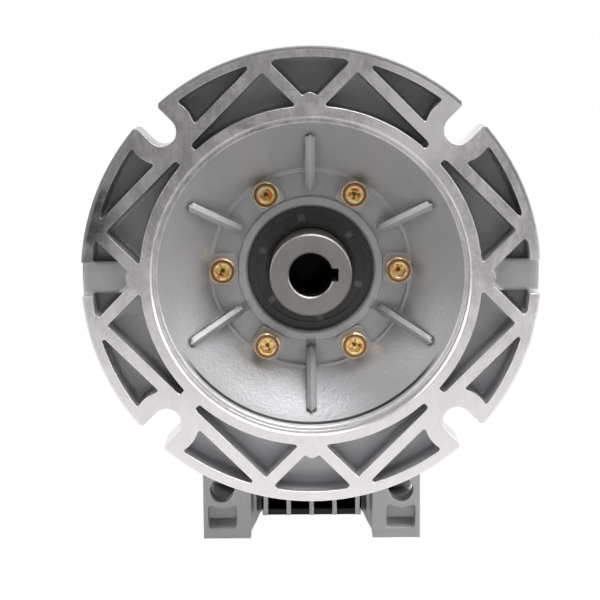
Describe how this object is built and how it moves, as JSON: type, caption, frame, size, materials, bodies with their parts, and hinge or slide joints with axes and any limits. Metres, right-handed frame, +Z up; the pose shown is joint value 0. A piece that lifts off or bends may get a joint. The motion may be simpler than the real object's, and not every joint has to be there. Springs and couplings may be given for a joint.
{
  "type": "worm gear reducer",
  "caption": "Right-angle worm gear reducer with a hollow output shaft, foot mounting and a C-face flange with a hollow keyed input for a motor.",
  "frame": {"origin": "centre of the foot bolt pattern on the mounting plane", "axes": "+X along the hollow output shaft, +Y along the worm axis away from the motor, +Z up"},
  "size_m": [0.165, 0.171, 0.1926],
  "materials": {
    "cast_aluminium": "die-cast, silver-grey paint with light orange peel; front face of the flange machined bare",
    "ground_steel": "ground, bright chamfers",
    "bearing_steel": "polished",
    "cage_plastic": "moulded, matt",
    "bronze": "hobbed, satin",
    "pin_steel": "ground",
    "spring_steel": "phosphated black",
    "yellow_zinc": "yellow-chromated zinc with iridescent sockets",
    "black_rubber": "moulded, matt to satin",
    "gasket_paper": "pressed sheet",
    "plug_steel": "zinc plated",
    "copper_washer": "soft annealed"
  },
  "bodies": {
    "housing": {"cover_o_ring": "black_rubber", "cover_screws": "yellow_zinc", "drain_plug": "plug_steel", "drain_plug_washer": "copper_washer", "fill_plug": "plug_steel", "fill_plug_washer": "copper_washer", "flange_gasket": "gasket_paper", "flange_screws": "yellow_zinc", "front_bearing_outer_ring": "bearing_steel", "housing": "cast_aluminium", "input_seal": "black_rubber", "left_bearing_outer_ring": "bearing_steel", "motor_flange": "cast_aluminium", "output_cover": "cast_aluminium", "output_seal_left": "black_rubber", "output_seal_right": "black_rubber", "rear_bearing_outer_ring": "bearing_steel", "rear_bore_circlip": "spring_steel", "rear_cap": "black_rubber", "right_bearing_outer_ring": "bearing_steel"},
    "worm": {"worm_front_circlip": "spring_steel", "worm_rear_circlip": "spring_steel", "worm_shaft": "ground_steel", "front_bearing_inner_ring": "bearing_steel", "rear_bearing_inner_ring": "bearing_steel"},
    "output": {"output_shaft": "ground_steel", "worm_wheel_rim": "bronze", "wheel_pins": "pin_steel", "left_bearing_inner_ring": "bearing_steel", "right_bearing_inner_ring": "bearing_steel"},
    "front_cage": {"front_bearing_balls": "bearing_steel", "front_bearing_cage": "cage_plastic"},
    "rear_cage": {"rear_bearing_balls": "bearing_steel", "rear_bearing_cage": "cage_plastic"},
    "left_cage": {"left_bearing_balls": "bearing_steel", "left_bearing_cage": "cage_plastic"},
    "right_cage": {"right_bearing_balls": "bearing_steel", "right_bearing_cage": "cage_plastic"}
  },
  "joints": [
    {"name": "worm_spin", "type": "hinge", "parent": "housing", "child": "worm", "pos_m": [0, 0, 0.11], "axis": [0, 1, 0], "continuous": true},
    {"name": "output_spin", "type": "hinge", "parent": "housing", "child": "output", "pos_m": [0, 0, 0.06], "axis": [1, 0, 0], "continuous": true},
    {"name": "front_cage_spin", "type": "hinge", "parent": "housing", "child": "front_cage", "pos_m": [0, -0.0615, 0.11], "axis": [0, 1, 0], "continuous": true},
    {"name": "rear_cage_spin", "type": "hinge", "parent": "housing", "child": "rear_cage", "pos_m": [0, 0.043, 0.11], "axis": [0, 1, 0], "continuous": true},
    {"name": "left_cage_spin", "type": "hinge", "parent": "housing", "child": "left_cage", "pos_m": [-0.025, 0, 0.06], "axis": [1, 0, 0], "continuous": true},
    {"name": "right_cage_spin", "type": "hinge", "parent": "housing", "child": "right_cage", "pos_m": [0.025, 0, 0.06], "axis": [1, 0, 0], "continuous": true}
  ],
  "couplings": [
    {"joint": "output_spin", "follows": "worm_spin", "ratio": 0.066667},
    {"joint": "front_cage_spin", "follows": "worm_spin", "ratio": 0.41595},
    {"joint": "rear_cage_spin", "follows": "worm_spin", "ratio": 0.38152},
    {"joint": "left_cage_spin", "follows": "worm_spin", "ratio": 0.028433},
    {"joint": "right_cage_spin", "follows": "worm_spin", "ratio": 0.028433}
  ]
}
